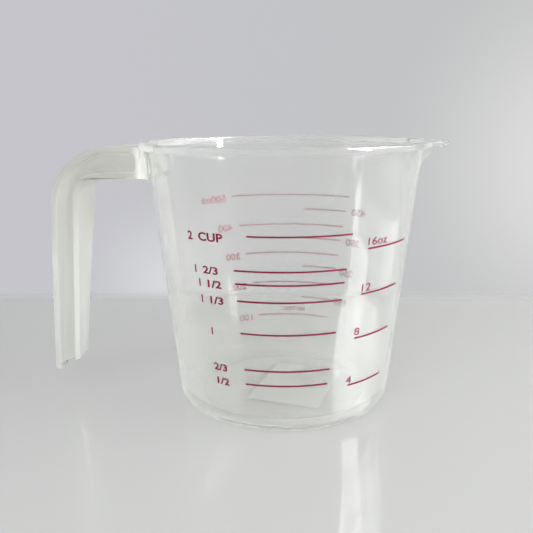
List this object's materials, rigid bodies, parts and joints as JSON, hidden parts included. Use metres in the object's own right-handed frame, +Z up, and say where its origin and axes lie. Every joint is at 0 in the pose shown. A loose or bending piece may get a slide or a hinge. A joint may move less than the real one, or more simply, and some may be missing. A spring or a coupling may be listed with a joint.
{
  "type": "measuring jug",
  "caption": "Clear conical beaker with a flanged rim, a small pouring spout, an open-ended strap handle and printed volume scales, for measuring and pouring liquids.",
  "frame": {"origin": "middle of the foot ring, on the surface that the jug stands on", "axes": "+Z up along the beaker's axis, +X towards the pouring spout, -X towards the handle, -Y towards the side with the cup scale"},
  "size_m": [0.1626, 0.1136, 0.1054],
  "materials": {
    "clear_plastic": "clear, slightly milky polypropylene, glossy",
    "printed_ink": "crimson pad-printed ink, satin",
    "label_paper": "blank white paper label, seen through the floor"
  },
  "bodies": {
    "root": {"jug_body": "clear_plastic", "handle": "clear_plastic", "cup_scale": "printed_ink", "ounce_scale": "printed_ink", "millilitre_scale": "printed_ink", "base_label": "label_paper"}
  },
  "joints": []
}
